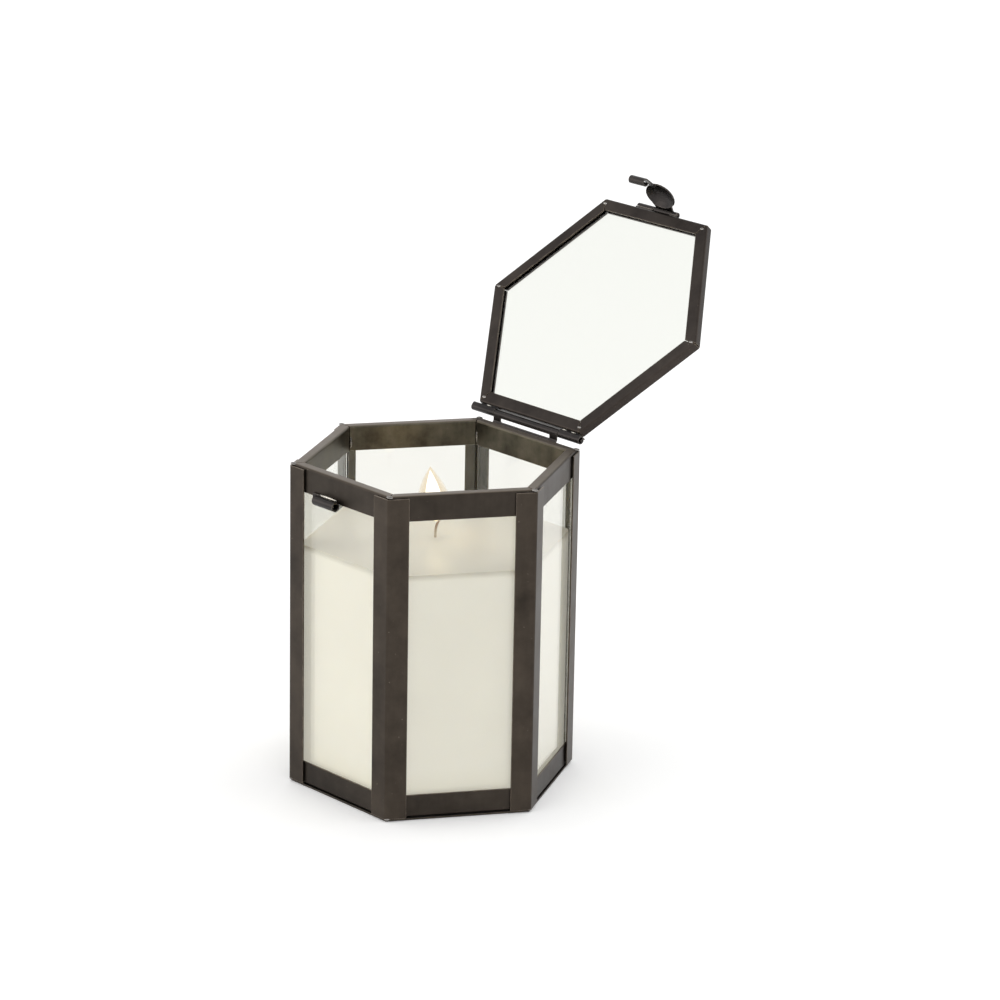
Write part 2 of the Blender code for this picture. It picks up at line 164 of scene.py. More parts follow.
# %% Floor and light
def soft_panel(name, place, target, size, power, colour=(1, 1, 1)):
    data = bpy.data.lights.new(name, "AREA")
    data.shape = "SQUARE"
    data.size = size
    data.energy = power
    data.color = colour
    lamp = bpy.data.objects.new(name, data)
    bpy.context.scene.collection.objects.link(lamp)
    lamp.location = place
    lamp.rotation_euler = (Vector(target) - Vector(place)).to_track_quat("-Z", "Y").to_euler()


def new_look(name):
    """A new material, its node tree and its main shader."""
    made = bpy.data.materials.new(name)
    made.use_nodes = True
    return made, made.node_tree, made.node_tree.nodes["Principled BSDF"]


def make_floor():
    bpy.ops.mesh.primitive_plane_add(size=8, location=(0, 0, -0.2 * MM))
    floor = bpy.context.object
    floor.name = "floor"
    look, _, shader = new_look("floor_white")
    shader.inputs["Base Color"].default_value = (0.96, 0.96, 0.96, 1)
    shader.inputs["Roughness"].default_value = 0.9
    shader.inputs["Emission Color"].default_value = (1, 1, 1, 1)
    shader.inputs["Emission Strength"].default_value = 0.1
    shader.inputs["Specular IOR Level"].default_value = 0.0
    floor.data.materials.append(look)


def make_sky(strength):
    world = bpy.data.worlds.new("studio")
    world.use_nodes = True
    sky = world.node_tree.nodes["Background"]
    sky.inputs["Color"].default_value = (1, 1, 1, 1)
    sky.inputs["Strength"].default_value = strength
    bpy.context.scene.world = world


make_sky(1.04)
make_floor()
soft_panel("left_panel", (-0.9, -1.1, 0.55), (0, 0, 0.08), 0.9, 4, (1.0, 0.95, 0.88))
soft_panel("back_panel", (0.5, 1.1, 0.9), (0, 0, 0.1), 0.7, 2)
bpy.context.scene.view_settings.view_transform = "Standard"

# %% [markdown]
# ## Shared finishes
# Everything metal on this lantern was dipped in the same dark patina and then handled. So the
# marks are built once, as small node groups with named inputs, and each material sets its own
# amounts. Three groups are enough: cloudy tone with streaks, rubbed edges that also paint a
# highlight along the folds, and fine relief.

# %% Small helpers for node trees
def put(tree, kind, **values):
    """Add a node and set its properties, and its sockets by name."""
    node = tree.nodes.new(kind)
    for name, value in values.items():
        if hasattr(node, name):
            setattr(node, name, value)
        else:
            node.inputs[name.replace("_", " ")].default_value = value
    return node


def new_group(name, inputs, outputs):
    """A node group with number inputs (name: default) and outputs (name: socket type)."""
    tree = bpy.data.node_groups.new(name, "ShaderNodeTree")
    for label, value in inputs.items():
        socket = tree.interface.new_socket(label, in_out="INPUT", socket_type="NodeSocketFloat")
        socket.default_value = value
    for label, kind in outputs.items():
        tree.interface.new_socket(label, in_out="OUTPUT", socket_type=kind)
    return tree, tree.nodes.new("NodeGroupInput"), tree.nodes.new("NodeGroupOutput")


def blend_colours(tree, share, first, second):
    """Mix two colours, each given as a value or as a socket."""
    node = tree.nodes.new("ShaderNodeMix")
    node.data_type = "RGBA"
    tree.links.new(share, node.inputs["Factor"])
    for socket, colour in ((node.inputs[6], first), (node.inputs[7], second)):
        if isinstance(colour, bpy.types.NodeSocket):
            tree.links.new(colour, socket)
        else:
            socket.default_value = (*colour, 1)
    return node.outputs[2]


def remap(tree, value, low, high, new_low=0.0, new_high=1.0):
    """Stretch a value from one range onto another and clamp it."""
    node = tree.nodes.new("ShaderNodeMapRange")
    for name, number in (("From Min", low), ("From Max", high),
                         ("To Min", new_low), ("To Max", new_high)):
        node.inputs[name].default_value = number
    tree.links.new(value, node.inputs["Value"])
    return node.outputs["Result"]


def arithmetic(tree, operation, first, second):
    node = tree.nodes.new("ShaderNodeMath")
    node.operation = operation
    for socket, value in zip(node.inputs, (first, second)):
        if isinstance(value, bpy.types.NodeSocket):
            tree.links.new(value, socket)
        else:
            socket.default_value = value
    return node.outputs[0]


def object_place(tree):
    return tree.nodes.new("ShaderNodeTexCoord").outputs["Object"]


def object_axes(tree):
    """The X, Y and Z of the point being shaded, in the object's own coordinates."""
    parts = tree.nodes.new("ShaderNodeSeparateXYZ")
    tree.links.new(object_place(tree), parts.inputs["Vector"])
    return parts.outputs


def noise(tree, **values):
    """A noise texture on object coordinates."""
    node = put(tree, "ShaderNodeTexNoise", **values)
    tree.links.new(object_place(tree), node.inputs["Vector"])
    return node


def add_bump(tree, shader, height, strength, distance):
    bump = put(tree, "ShaderNodeBump", Strength=strength, Distance=distance)
    tree.links.new(height, bump.inputs["Height"])
    tree.links.new(bump.outputs["Normal"], shader.inputs["Normal"])


# %% Cloudy tone with streaks
def cloud_group():
    """Cloudy blotches, and streaks left where the patina ran down before it dried."""
    tree, given, result = new_group("cloudy_patina", {"Size": 60.0, "Streaks": 0.5},
                                    {"Tone": "NodeSocketFloat", "Specks": "NodeSocketFloat"})
    cloud = noise(tree, Detail=6.0, Roughness=0.62)
    tree.links.new(given.outputs["Size"], cloud.inputs["Scale"])
    squeeze = tree.nodes.new("ShaderNodeMapping")
    squeeze.inputs["Scale"].default_value = (1, 1, 0.12)
    tree.links.new(object_place(tree), squeeze.inputs["Vector"])
    streak = put(tree, "ShaderNodeTexNoise", Scale=260.0, Detail=4.0)
    tree.links.new(squeeze.outputs["Vector"], streak.inputs["Vector"])
    lines = arithmetic(tree, "MULTIPLY", remap(tree, streak.outputs["Fac"], 0.4, 0.75),
                       given.outputs["Streaks"])
    tone = arithmetic(tree, "ADD", remap(tree, cloud.outputs["Fac"], 0.32, 0.72), lines)
    tree.links.new(remap(tree, tone, 0.0, 1.3), result.inputs["Tone"])
    speck = noise(tree, Scale=900.0, Detail=2.0)
    tree.links.new(remap(tree, speck.outputs["Fac"], 0.74, 0.80, 0.0, 0.6), result.inputs["Specks"])
    return tree


CLOUDS = cloud_group()
print("group:", CLOUDS.name)

# %% Rubbed edges and painted fold highlights
def wear_and_highlight_group():
    """White where the surface turns sharply: rubbed wear, and a painted highlight along the folds, broken
    up so that it looks rubbed and not drawn.
    """
    tree, given, result = new_group("rubbed_edges_and_highlights", {"Width": 0.0004, "Breakup": 0.5},
                                    {"Wear and Highlight": "NodeSocketFloat"})
    rounded = tree.nodes.new("ShaderNodeBevel")
    rounded.samples = 4
    tree.links.new(given.outputs["Width"], rounded.inputs["Radius"])
    shape = tree.nodes.new("ShaderNodeNewGeometry")
    compare = put(tree, "ShaderNodeVectorMath", operation="DOT_PRODUCT")
    tree.links.new(rounded.outputs["Normal"], compare.inputs[0])
    tree.links.new(shape.outputs["Normal"], compare.inputs[1])
    edge = remap(tree, compare.outputs["Value"], 0.995, 0.86)
    broken = noise(tree, Scale=350.0, Detail=4.0)
    gaps = arithmetic(tree, "MULTIPLY", remap(tree, broken.outputs["Fac"], 0.35, 0.6),
                      given.outputs["Breakup"])
    kept = arithmetic(tree, "SUBTRACT", 1.0, given.outputs["Breakup"])
    tree.links.new(arithmetic(tree, "MULTIPLY", edge, arithmetic(tree, "ADD", gaps, kept)),
                   result.inputs["Wear and Highlight"])
    return tree


EDGES = wear_and_highlight_group()
print("group:", EDGES.name)

# %% Fine relief
def relief_group():
    """Soft dents and fine grain, as one height."""
    tree, given, result = new_group("fine_relief", {"Dents": 0.5, "Grain": 0.5},
                                    {"Height": "NodeSocketFloat"})
    dents = noise(tree, Scale=110.0, Detail=1.0)
    grain = noise(tree, Scale=1800.0, Detail=3.0)
    slow = arithmetic(tree, "MULTIPLY", dents.outputs["Fac"], given.outputs["Dents"])
    fast = arithmetic(tree, "MULTIPLY", grain.outputs["Fac"], given.outputs["Grain"])
    tree.links.new(arithmetic(tree, "ADD", slow, fast), result.inputs["Height"])
    return tree


RELIEF = relief_group()
print("group:", RELIEF.name)

# %% [markdown]
# ## Dark patina
# The sheet is steel darkened with a chemical patina: nearly black brown, a little olive where it
# is thin, paler where fingers have rubbed an edge; that pale edge colour is also a painted
# highlight along the folds. Faces that look upwards are painted paler as well, a painted highlight
# from the sky. It is a metal under a thin skin, so the shader is mostly metallic with a dark colour,
# which is what makes it turn silvery at a glance.

# %% Patina material
def use_group(tree, group, **values):
    node = tree.nodes.new("ShaderNodeGroup")
    node.node_tree = group
    for name, value in values.items():
        node.inputs[name].default_value = value
    return node


def patina(name, dark, light, rubbed_and_lit, rough=(0.32, 0.50), cloud=55.0, streaks=0.25,
           edge_width=0.00045, dents=0.6, top_light=0.0):
    made, tree, shader = new_look(name)
    clouds = use_group(tree, CLOUDS, Size=cloud, Streaks=streaks)
    edges = use_group(tree, EDGES, Width=edge_width, Breakup=0.65)
    relief = use_group(tree, RELIEF, Dents=dents, Grain=0.10)
    colour = blend_colours(tree, clouds.outputs["Tone"], dark, light)
    colour = blend_colours(tree, clouds.outputs["Specks"], colour, rubbed_and_lit)
    # Sharp edges take the pale colour: rubbed wear together with a painted highlight along the folds.
    colour = blend_colours(tree, edges.outputs["Wear and Highlight"], colour, rubbed_and_lit)
    # Faces that look upwards are blended towards the pale colour: a painted highlight from the sky above.
    if top_light:
        facing = tree.nodes.new("ShaderNodeNewGeometry")
        parts = tree.nodes.new("ShaderNodeSeparateXYZ")
        tree.links.new(facing.outputs["Normal"], parts.inputs["Vector"])
        lit_top = remap(tree, parts.outputs["Z"], 0.6, 0.95, 0.0, top_light)
        colour = blend_colours(tree, lit_top, colour, rubbed_and_lit)
    tree.links.new(colour, shader.inputs["Base Color"])
    tree.links.new(remap(tree, clouds.outputs["Tone"], 0, 1, *rough), shader.inputs["Roughness"])
    add_bump(tree, shader, relief.outputs["Height"], 0.35, 0.2 * MM)
    shader.inputs["Metallic"].default_value = 0.9
    return made


FRAME_LOOK = patina("frame_patina", (0.025, 0.020, 0.016), (0.060, 0.049, 0.039), (0.26, 0.215, 0.17),
                    top_light=0.5)
POST_LOOK = patina("post_patina", (0.029, 0.023, 0.018), (0.078, 0.062, 0.048), (0.28, 0.23, 0.185),
                   top_light=0.5)
INNER_LOOK = patina("inner_patina", (0.040, 0.034, 0.024), (0.150, 0.134, 0.100), (0.34, 0.30, 0.22),
                    cloud=90.0, top_light=0.3)
LID_LOOK = patina("lid_patina", (0.024, 0.019, 0.017), (0.058, 0.048, 0.041), (0.26, 0.21, 0.16))
LATCH_LOOK = patina("latch_patina", (0.022, 0.020, 0.020), (0.050, 0.044, 0.042), (0.26, 0.23, 0.20),
                    rough=(0.26, 0.42), edge_width=0.0003)
BASE_LOOK = patina("base_patina", (0.028, 0.024, 0.020), (0.060, 0.050, 0.040), (0.20, 0.17, 0.14))
print("patinas:", FRAME_LOOK.name, POST_LOOK.name, INNER_LOOK.name, LID_LOOK.name, LATCH_LOOK.name)

# %% [markdown]
# ## Solder
# Where two pieces of sheet meet, a bead of solder was run in and then darkened with the rest.
# The high spots rub through first, so the beads are the brightest metal on the lantern. A second,
# near-white look is a painted highlight, put on the beads at the catch and the hinge where bright
# lines and specks show.

# %% Solder material
# Near-white solder: a painted highlight.
SOLDER_HIGHLIGHT_LOOK = patina("solder_painted_highlight", (0.45, 0.42, 0.37), (0.80, 0.77, 0.70), (0.9, 0.88, 0.82),
                     rough=(0.18, 0.34), cloud=300.0, streaks=0.0)
SOLDER_LOOK = patina("dark_solder", (0.085, 0.078, 0.070), (0.30, 0.28, 0.26), (0.70, 0.68, 0.66),
                     rough=(0.18, 0.38), cloud=260.0, streaks=0.0, edge_width=0.0005, dents=1.0)

# %% [markdown]
# ## Glass
# The panes are ordinary 2 mm window glass, with a faint tint and a few smears that roughen the
# gloss a little. Lamps must reach the candle, so for shadow rays alone the glass is swapped for
# a plain transparent shader.

# %% Glass material
def clear_glass(name, tint):
    made, tree, shader = new_look(name)
    shader.inputs["Base Color"].default_value = (*tint, 1)
    shader.inputs["Metallic"].default_value = 0.0
    shader.inputs["Transmission Weight"].default_value = 1.0
    shader.inputs["IOR"].default_value = 1.5
    smear = noise(tree, Scale=45.0, Detail=5.0)
    tree.links.new(remap(tree, smear.outputs["Fac"], 0.52, 0.8, 0.0, 0.06), shader.inputs["Roughness"])
    wave = noise(tree, Scale=28.0, Detail=0.0)
    add_bump(tree, shader, wave.outputs["Fac"], 0.04, 2 * MM)
    rays = tree.nodes.new("ShaderNodeLightPath")
    through = tree.nodes.new("ShaderNodeBsdfTransparent")
    through.inputs["Color"].default_value = (0.93, 0.95, 0.93, 1)
    swap = tree.nodes.new("ShaderNodeMixShader")
    output = tree.nodes["Material Output"]
    tree.links.new(rays.outputs["Is Shadow Ray"], swap.inputs["Fac"])
    tree.links.new(shader.outputs["BSDF"], swap.inputs[1])
    tree.links.new(through.outputs["BSDF"], swap.inputs[2])
    tree.links.new(swap.outputs["Shader"], output.inputs["Surface"])
    return made


PANE_LOOK = clear_glass("pane_glass", (0.80, 0.80, 0.76))
LID_GLASS_LOOK = clear_glass("lid_glass_clear", (0.80, 0.81, 0.77))

# %% [markdown]
# ## Wax
# Poured wax is cream and lets light in a little way, which softens its edges. On top of that it
# carries a painted glow, as if lit from within, weaker on its top face, which the lamps light more.
# Its top has been melted by the flame and set again, smoother towards the wick. Where it meets the
# metal it has picked up a little yellow.

# %% Wax material
def cream_wax():
    made, tree, shader = new_look("cream_wax")
    axes = object_axes(tree)
    cloud = noise(tree, Scale=38.0, Detail=4.0)
    colour = blend_colours(tree, remap(tree, cloud.outputs["Fac"], 0.3, 0.7),
                           (0.62, 0.60, 0.54), (0.68, 0.66, 0.60))
    low = remap(tree, axes["Z"], FOOT_HIGH.z + 9 * MM, FOOT_HIGH.z)
    colour = blend_colours(tree, arithmetic(tree, "MULTIPLY", low, 0.5), colour, (0.56, 0.52, 0.36))
    tree.links.new(colour, shader.inputs["Base Color"])
    # Painted glow: the sides glow brighter and the top less, standing in for the light the wax would
    # catch.
    top = remap(tree, axes["Z"], WAX_HIGH.z - 2.5 * MM, WAX_HIGH.z - 0.4 * MM)
    tree.links.new(blend_colours(tree, top, (0.58, 0.56, 0.51), (0.27, 0.25, 0.21)),
                   shader.inputs["Emission Color"])
    shader.inputs["Emission Strength"].default_value = 1.0
    across = put(tree, "ShaderNodeVectorMath", operation="LENGTH")
    flat = tree.nodes.new("ShaderNodeCombineXYZ")
    tree.links.new(axes["X"], flat.inputs["X"])
    tree.links.new(axes["Y"], flat.inputs["Y"])
    tree.links.new(flat.outputs["Vector"], across.inputs[0])
    tree.links.new(remap(tree, across.outputs["Value"], 30 * MM, 41 * MM, 0.32, 0.45),
                   shader.inputs["Roughness"])
    grain = noise(tree, Scale=260.0, Detail=3.0)
    add_bump(tree, shader, grain.outputs["Fac"], 0.06, 1 * MM)
    shader.inputs["Subsurface Weight"].default_value = 0.35
    shader.inputs["Subsurface Radius"].default_value = (1.0, 0.75, 0.45)
    shader.inputs["Subsurface Scale"].default_value = 0.004
    shader.inputs["IOR"].default_value = 1.43
    return made


WAX_LOOK = cream_wax()

# %% [markdown]
# ## Wick and flame
# The wick is braided cotton, pale where the wax keeps it wet and browned at the bent tip. The
# flame is two thin shells: a white-hot heart, and a faint amber skin round it that fades out
# towards its edge. The same cell makes the bright tinned sheet of the wick's foot.

# %% Wick and flame materials
def cotton_wick():
    made, tree, shader = new_look("cotton_wick")
    char = remap(tree, object_axes(tree)["Z"], WAX_HIGH.z + 1.2 * MM, WAX_HIGH.z + 4.5 * MM)
    tree.links.new(blend_colours(tree, char, (0.78, 0.66, 0.50), (0.46, 0.30, 0.19)),
                   shader.inputs["Base Color"])
    braid = put(tree, "ShaderNodeTexWave", Scale=900.0, Distortion=2.0)
    tree.links.new(object_place(tree), braid.inputs["Vector"])
    add_bump(tree, shader, braid.outputs["Fac"], 0.6, 0.2 * MM)
    tree.links.new(remap(tree, char, 0, 1, 0.55, 0.95), shader.inputs["Roughness"])
    return made


def flame_shell(name, low_colour, high_colour, strength, alpha, edge):
    """A glowing shell whose alpha goes from its middle to its edge, as it is seen."""
    made, tree, shader = new_look(name)
    rise = remap(tree, object_axes(tree)["Z"], WAX_HIGH.z + 6 * MM, WAX_HIGH.z + 22 * MM)
    tree.links.new(blend_colours(tree, rise, low_colour, high_colour),
                   shader.inputs["Emission Color"])
    shader.inputs["Emission Strength"].default_value = strength
    shader.inputs["Base Color"].default_value = (0, 0, 0, 1)
    shader.inputs["Specular IOR Level"].default_value = 0.0
    shader.inputs["Roughness"].default_value = 1.0
    facing = put(tree, "ShaderNodeLayerWeight", Blend=0.5)
    tree.links.new(remap(tree, facing.outputs["Facing"], 0.15, 0.95, alpha, edge), shader.inputs["Alpha"])
    return made


WICK_LOOK = cotton_wick()
HEART_LOOK = flame_shell("flame_heart", (1.0, 0.86, 0.55), (1.0, 0.98, 0.92), 2.6, 1.0, 1.0)
SKIN_LOOK = flame_shell("flame_skin", (0.66, 0.46, 0.20), (0.90, 0.70, 0.40), 0.95, 0.42, 0.0)


def tinned_sheet():
    made, tree, shader = new_look("tinned_sheet")
    relief = use_group(tree, RELIEF, Dents=0.4, Grain=0.3)
    clouds = use_group(tree, CLOUDS, Size=200.0, Streaks=0.0)
    tree.links.new(blend_colours(tree, clouds.outputs["Tone"], (0.5, 0.5, 0.48), (0.75, 0.75, 0.73)),
                   shader.inputs["Base Color"])
    add_bump(tree, shader, relief.outputs["Height"], 0.2, 0.2 * MM)
    shader.inputs["Metallic"].default_value = 1.0
    shader.inputs["Roughness"].default_value = 0.35
    return made


TIN_LOOK = tinned_sheet()
print("materials:", len(bpy.data.materials))

# %% [markdown]
# ## Folding sheet metal
# The maker cut strips with a shear and folded them over an edge. The same two moves work here:
# a flat is an edge pulled straight, and a fold is the same edge spun about a line. A path with
# a profile would also do, but it would hide where the flats end and the folds begin.

# %% Tools for edit mode
SHARP_ANGLE = 32
BEND_STEP = 18
TOUCHING = 1e-6


def deselect():
    if bpy.context.object and bpy.context.object.mode == "EDIT":
        bpy.ops.object.mode_set(mode="OBJECT")
    bpy.ops.object.select_all(action="DESELECT")


def select_only(piece):
    deselect()
    bpy.context.view_layer.objects.active = piece
    piece.select_set(True)


def pick(kind, test):
    """In edit mode, select only the verts, edges or faces that pass a test of (part, middle)."""
    bpy.ops.mesh.select_mode(type=kind)
    bpy.ops.mesh.select_all(action="DESELECT")
    shape = bmesh.from_edit_mesh(bpy.context.object.data)
    parts = {"VERT": shape.verts, "EDGE": shape.edges, "FACE": shape.faces}[kind]
    shape.normal_update()
    for part in parts:
        corners = [part] if kind == "VERT" else part.verts
        middle = sum((vert.co for vert in corners), Vector()) / len(corners)
        if test(part, middle):
            part.select_set(True)
    shape.select_flush_mode()
    bmesh.update_edit_mesh(bpy.context.object.data)


def apply_modifier(piece, kind, **values):
    select_only(piece)
    work = piece.modifiers.new(kind.lower(), kind)
    for name, value in values.items():
        setattr(work, name, value)
    bpy.ops.object.modifier_apply(modifier=work.name)


def place_piece(piece, matrix):
    """Turn or move a piece and write its new place into its mesh."""
    select_only(piece)
    piece.matrix_world = matrix @ piece.matrix_world
    bpy.ops.object.transform_apply(location=True, rotation=True, scale=True)


def smooth_piece(piece, angle=SHARP_ANGLE):
    """Smooth shading that leaves flats flat: large faces decide the normals of small bevels."""
    select_only(piece)
    bpy.ops.object.shade_smooth_by_angle(angle=math.radians(angle))
    apply_modifier(piece, "WEIGHTED_NORMAL", keep_sharp=True, weight=50)


def hand_over(piece, look, body, slot, *nodes):
    """Give the finished piece its look, its body and the CAD nodes it stands for."""
    piece.data.materials.clear()
    piece.data.materials.append(look)
    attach(piece, body)
    if nodes:
        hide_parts(*nodes)
    return piece


# %% Fold a strip
def fold_strip(name, start, heading, side, width, steps):
    """Pull and spin a strip: ("flat", length) and ("bend", degrees, radius) from a start."""
    deselect()
    heading, side, spot = Vector(heading), Vector(side), Vector(start)
    first = steps[0][1]
    bpy.ops.mesh.primitive_plane_add(size=1)
    piece = bpy.context.object
    piece.name = name
    across = Matrix((heading * first, side * width, heading.cross(side))).transposed().to_4x4()
    place_piece(piece, Matrix.Translation(spot + heading * first / 2) @ across)
    bpy.ops.object.mode_set(mode="EDIT")
    spot = spot + heading * first
    pick("EDGE", lambda part, middle: (middle - spot).length < TOUCHING)
    for step in steps[1:]:
        if step[0] == "flat":
            bpy.ops.mesh.extrude_region_move(TRANSFORM_OT_translate={"value": heading * step[1]})
            spot = spot + heading * step[1]
        else:
            angle = math.radians(step[1])
            up = heading.cross(side)
            centre = spot + up * math.copysign(step[2], angle)
            count = max(2, math.ceil(abs(step[1]) / BEND_STEP))
            bpy.ops.mesh.spin(steps=count, angle=angle, center=centre, axis=side)
            turn = Matrix.Rotation(angle, 3, -side)
            spot = centre + turn @ (spot - centre)
            heading = turn @ heading
    bpy.ops.object.mode_set(mode="OBJECT")
    return piece


def thicken_sheet(piece, thickness, edge=EDGE_BREAK):
    """Give a folded strip its thickness and break its sharp edges."""
    apply_modifier(piece, "SOLIDIFY", thickness=thickness, offset=0, use_even_offset=True)
    if edge:
        soften_edges(piece, edge)
    smooth_piece(piece)
    return piece


def soften_edges(piece, width, segments=2):
    apply_modifier(piece, "BEVEL", width=width, segments=segments, limit_method="ANGLE",
                   angle_limit=math.radians(SHARP_ANGLE), use_clamp_overlap=True)


def cut_off(piece, place, outward):
    """Saw a piece along a plane, drop the part beyond it and close the cut."""
    select_only(piece)
    bpy.ops.object.mode_set(mode="EDIT")
    bpy.ops.mesh.select_all(action="SELECT")
    bpy.ops.mesh.bisect(plane_co=place, plane_no=outward, use_fill=True, clear_outer=True)
    bpy.ops.object.mode_set(mode="OBJECT")


print("folding tools are ready")

# %% [markdown]
# ## Rails
# Each wall has a folded channel along its foot and another along its rim. The panes slide into
# them. The ends are mitred at 30 degrees, so six of them close into a hexagon. One channel is
# made facing the back, sawn at both ends, and copied round the other five walls.

# %% Channels for the rim and the foot
MITRE_GAP = 0.15 * MM / COS30
FOLD = 0.55 * MM
SAW_WASTE = 4 * MM


def mitre_both_ends(piece):
    for end in (-1, 1):
        cut_off(piece, (-end * MITRE_GAP, 0, 0), (end * COS30, -0.5, 0))


def finish_channel(piece):
    """Thicken a folded channel, mitre its ends and break its edges."""
    apply_modifier(piece, "SOLIDIFY", thickness=SHEET, offset=0, use_even_offset=True)
    mitre_both_ends(piece)
    soften_edges(piece, EDGE_BREAK)
    smooth_piece(piece)
    return piece


def channel(name, mouth, web):
    """A channel along the back wall: outer leg, web and inner leg, between two heights."""
    rise = math.copysign(1, web - mouth)
    outer = RAIL_FACE - SHEET / 2
    leg = abs(web - mouth) - SHEET / 2 - FOLD
    run = (RAIL_FACE - RAIL_BACK) - SHEET - 2 * FOLD
    turn = 90 * -rise
    steps = [("flat", leg), ("bend", turn, FOLD), ("flat", run), ("bend", turn, FOLD), ("flat", leg)]
    length = 2 * RAIL_FACE * TAN30 + SAW_WASTE
    return finish_channel(fold_strip(name, (0, outer, mouth), (0, 0, rise), (1, 0, 0), length, steps))


def copies_round(model, label):
    """Turn a copy of a back-wall piece to every wall, each copy with its own mesh."""
    made = {}
    for wall, facing in WALLS.items():
        piece = model.copy()
        piece.data = model.data.copy()
        piece.name = f"{label}_{wall}"
        bpy.context.scene.collection.objects.link(piece)
        place_piece(piece, Matrix.Rotation(math.radians(facing - 90), 4, "Z"))
        made[wall] = piece
    bpy.data.objects.remove(model)
    return made


def round_the_walls(model, label, look, node_label):
    made = copies_round(model, label)
    for wall, piece in made.items():
        hand_over(piece, look, "lantern", "dark_patina", f"{node_label}_{wall}")
    return list(made.values())


def give_inner_look(pieces):
    """Faces that look inwards get their own, paler copy of the patina."""
    for piece in pieces:
        piece.data.materials.append(INNER_LOOK)
        for face in piece.data.polygons:
            outward = Vector((face.center.x, face.center.y, 0)).normalized()
            if face.normal.dot(outward) < -0.5:
                face.material_index = 1


rim_rails = round_the_walls(channel("rim_model", RAIL_LOW.z, RIM), "rim_rail",
                            FRAME_LOOK, "top_rail")
foot_rails = round_the_walls(channel("foot_model", FOOT_HIGH.z, FOOT_LOW.z), "foot_rail",
                             FRAME_LOOK, "bottom_rail")
give_inner_look(rim_rails + foot_rails)
print("rim rail faces:", len(rim_rails[0].data.polygons))

# %% [markdown]
# ## Corner posts
# A strip folded to 120 degrees covers each corner from the outside and laps over the rails, so
# that the panes meet behind it. The back left and left posts are narrower. Each is one fold in a
# strip, and all six wear a slightly lighter copy of the rails' patina.

# %% Folded angles
def folded_angle(name, corner, tip, leg, radius, low, high, thickness):
    """A 120 degree angle whose fold points out of one corner of the hexagon."""
    turn = Matrix.Rotation(math.radians(corner), 4, "Z")
    saved = radius * TAN30
    first = turn @ Vector((tip - thickness / COS30 / 2, 0, (low + high) / 2))
    heading = turn.to_3x3() @ Vector((0.5, -COS30, 0))
    start = first - heading * leg
    steps = [("flat", leg - saved), ("bend", 60, radius), ("flat", leg - saved)]
    piece = fold_strip(name, start, heading, (0, 0, 1), high - low, steps)
    return thicken_sheet(piece, thickness)


POST_TIP = POST_HIGH.x + 0.25 * MM
POST_LEG = (POST_HIGH.y - POST_LOW.y) / 2 / COS30 + 0.1 * MM
BACK_LEG = (BACK_POST_HIGH.y - BACK_POST_LOW.y) / 2 / COS30 + 0.1 * MM
for corner, angle in CORNERS.items():
    leg = BACK_LEG if corner in ("back_left", "left") else POST_LEG
    post = folded_angle(f"post_{corner}", angle, POST_TIP, leg, 1.0 * MM,
                        POST_LOW.z, POST_HIGH.z, SHEET)
    hand_over(post, POST_LOOK, "lantern", "dark_patina", f"corner_post_{corner}")
    give_inner_look([post])
print(f"post legs {POST_LEG / MM:.1f} mm at the front, {BACK_LEG / MM:.1f} mm at the back")

# %% [markdown]
# ## Base plate
# The floor of the lantern is one hexagon of sheet, a shade wider than the rails, so that its edge
# shows as a thin dark line under them. A six-sided cylinder is that hexagon already; it only
# needs a pressed panel, which stiffens the sheet, and a broken edge.

# %% Base plate
def six_sided(name, radius, low, high, along=0):
    """A six-sided block between two heights, with two of its corners on the X axis."""
    deselect()
    bpy.ops.mesh.primitive_cylinder_add(vertices=6, radius=radius, depth=high - low,
                                        location=(along, 0, (low + high) / 2),
                                        rotation=(0, 0, math.radians(30)))
    piece = bpy.context.object
    piece.name = name
    bpy.ops.object.transform_apply(location=True, rotation=True, scale=True)
    return piece


def base_sheet():
    piece = six_sided("base_sheet", BASE_HIGH.x, BASE_LOW.z, BASE_HIGH.z)
    bpy.ops.object.mode_set(mode="EDIT")
    pick("FACE", lambda part, middle: part.normal.z < -0.9)
    bpy.ops.mesh.inset(thickness=7 * MM)
    bpy.ops.mesh.inset(thickness=1.2 * MM)
    bpy.ops.transform.translate(value=(0, 0, 0.25 * MM))
    bpy.ops.object.mode_set(mode="OBJECT")
    soften_edges(piece, 0.15 * MM)
    smooth_piece(piece)
    return piece


hand_over(base_sheet(), BASE_LOOK, "lantern", "dark_patina", "base_plate")
print("base sheet done")

# %% [markdown]
# ## Panes
# Window glass is cut, and its edge is rubbed with a stone so that it doesn't bite. The small
# chamfer that this leaves is what catches the light round each pane.

# %% Glass panes
def rub_edges(piece):
    """Take the sharpness off every edge of the pane just made."""
    bpy.ops.object.mode_set(mode="EDIT")
    bpy.ops.mesh.select_all(action="SELECT")
    bpy.ops.mesh.bevel(offset=0.25 * MM, segments=2, profile=0.5, affect="EDGES")
    bpy.ops.object.mode_set(mode="OBJECT")
    smooth_piece(piece)
    return piece


def pane_model():
    deselect()
    size = PANE_HIGH - PANE_LOW
    middle = (PANE_HIGH + PANE_LOW) / 2
    bpy.ops.mesh.primitive_cube_add(size=1, location=(0, -middle.y, middle.z), scale=size)
    piece = bpy.context.object
    piece.name = "pane_model"
    bpy.ops.object.transform_apply(location=True, rotation=True, scale=True)
    return rub_edges(piece)


panes = round_the_walls(pane_model(), "pane", PANE_LOOK, "glass_pane")


def lid_pane():
    low, high = shut_box("lid_glass")
    piece = six_sided("lid_pane", (high.x - low.x) / 2, low.z, high.z, (low.x + high.x) / 2)
    place_piece(rub_edges(piece), OPEN_LID)
    return piece


hand_over(lid_pane(), LID_GLASS_LOOK, "lid", "clear_glass", "lid_glass")
print("panes:", len(panes) + 1)

